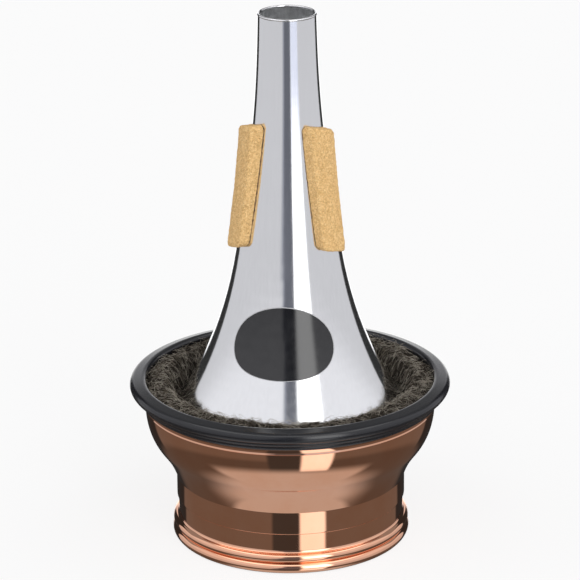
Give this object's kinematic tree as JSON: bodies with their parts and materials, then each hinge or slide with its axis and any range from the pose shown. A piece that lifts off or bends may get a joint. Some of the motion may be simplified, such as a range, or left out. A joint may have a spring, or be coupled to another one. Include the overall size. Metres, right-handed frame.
{
  "type": "trumpet cup mute",
  "caption": "Cup mute for a trumpet: flared metal cone with cork strips, set in a felt-lined copper cup with a rubber rim and a closed, beaded base.",
  "frame": {"origin": "centre of the base, on the surface that the mute stands on", "axes": "+Z along the cone's axis towards its open mouth; the label faces -Y"},
  "size_m": [0.1068, 0.1068, 0.18],
  "materials": {
    "aluminium": "polished, faintly satin along the length",
    "copper": "polished copper, lacquered",
    "rubber": "smooth black rubber, soft sheen",
    "felt": "coarse wool felt with loose fibres",
    "cork": "agglomerated cork, sanded",
    "label": "glossy foil label, bare"
  },
  "bodies": {
    "root": {"cone": "aluminium", "copper_cup": "copper", "base_band": "copper", "bottom_plate": "copper", "rubber_rim": "rubber", "felt_ring": "felt", "cork_left": "cork", "cork_right": "cork", "cork_rear": "cork", "oval_label": "label"}
  },
  "joints": []
}
